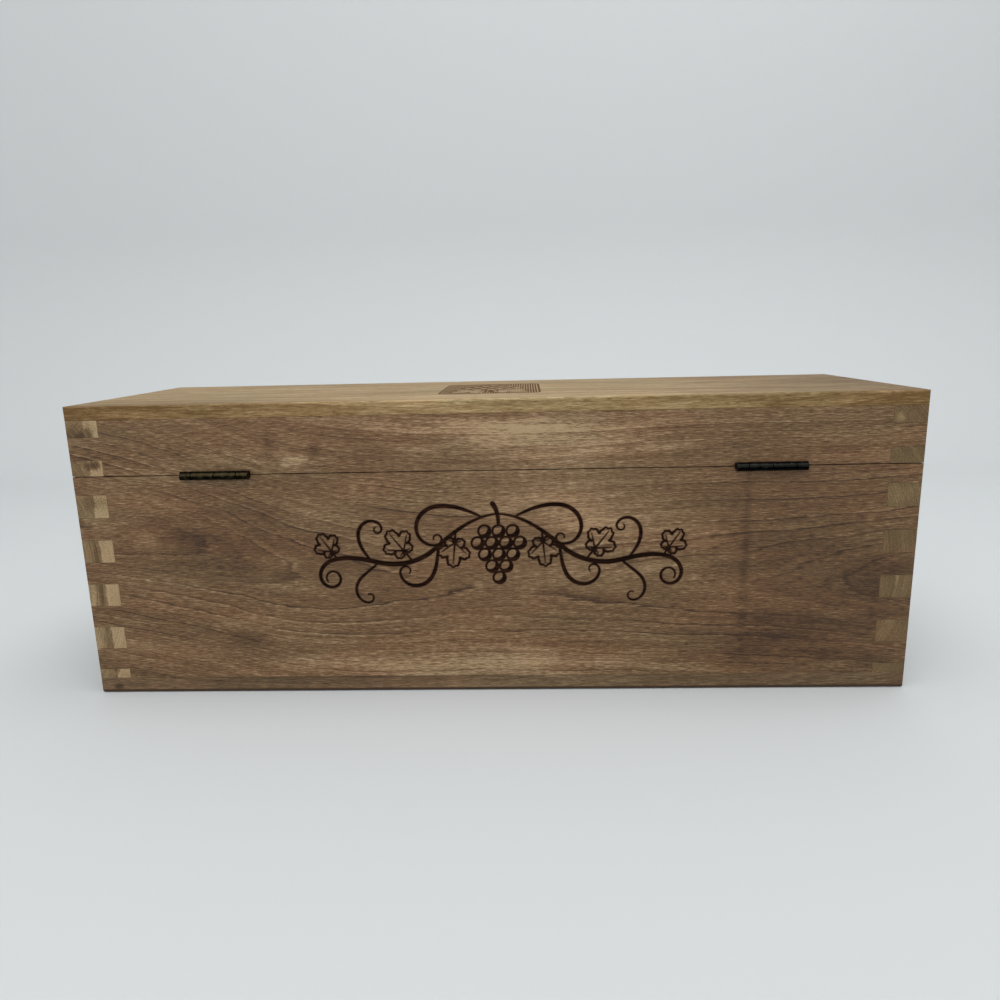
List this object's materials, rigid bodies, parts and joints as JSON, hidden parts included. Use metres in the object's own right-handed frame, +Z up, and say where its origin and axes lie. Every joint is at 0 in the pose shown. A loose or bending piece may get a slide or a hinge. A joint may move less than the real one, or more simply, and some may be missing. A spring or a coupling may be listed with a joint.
{
  "type": "wooden wine box",
  "caption": "Box-jointed wooden box for one wine bottle, with a lid on two butt hinges, a swing-hook catch and two bottle cradles inside.",
  "frame": {"origin": "centre of the underside, on the surface that the box stands on", "axes": "+X along the box, +Y from the hinge face to the front with the catch, +Z up"},
  "size_m": [0.3556, 0.1188, 0.1291],
  "materials": {
    "walnut_boards": "sanded, thin oil",
    "pale_left_side": "sanded, thin oil",
    "pale_right_side": "sanded, thin oil",
    "top_plank": "sanded, thin oil",
    "bottom_plank": "sanded, thin oil",
    "cradle_wood": "sanded",
    "hinge_bronze": "dark antique, satin",
    "pin_steel": "dull",
    "hinge_screw_brass": "satin",
    "catch_pin_brass": "antique, satin",
    "hook_bronze": "dark antique, satin"
  },
  "bodies": {
    "base": {"base_back_board": "walnut_boards", "base_front_board": "walnut_boards", "base_left_side": "pale_left_side", "base_right_side": "pale_right_side", "bottom_board": "bottom_plank", "body_cradle": "cradle_wood", "neck_cradle": "cradle_wood", "left_hinge_base_leaf": "hinge_bronze", "right_hinge_base_leaf": "hinge_bronze", "left_hinge_pin": "pin_steel", "right_hinge_pin": "pin_steel", "base_hinge_screws": "hinge_screw_brass", "catch_pivot_screw": "catch_pin_brass"},
    "lid": {"lid_back_rail": "walnut_boards", "lid_front_rail": "walnut_boards", "lid_left_rail": "pale_left_side", "lid_right_rail": "pale_right_side", "top_board": "top_plank", "left_hinge_lid_leaf": "hinge_bronze", "right_hinge_lid_leaf": "hinge_bronze", "lid_hinge_screws": "hinge_screw_brass", "catch_stud": "catch_pin_brass"},
    "catch_hook": {"catch_hook": "hook_bronze"}
  },
  "joints": [
    {"name": "lid_hinge", "type": "hinge", "parent": "base", "child": "lid", "pos_m": [0, -0.0575, 0.09925], "axis": [1, 0, 0], "range_deg": [0, 180]},
    {"name": "hook_swing", "type": "hinge", "parent": "base", "child": "catch_hook", "pos_m": [0, 0.0569, 0.08825], "axis": [0, 1, 0], "range_deg": [-160, 180]}
  ]
}
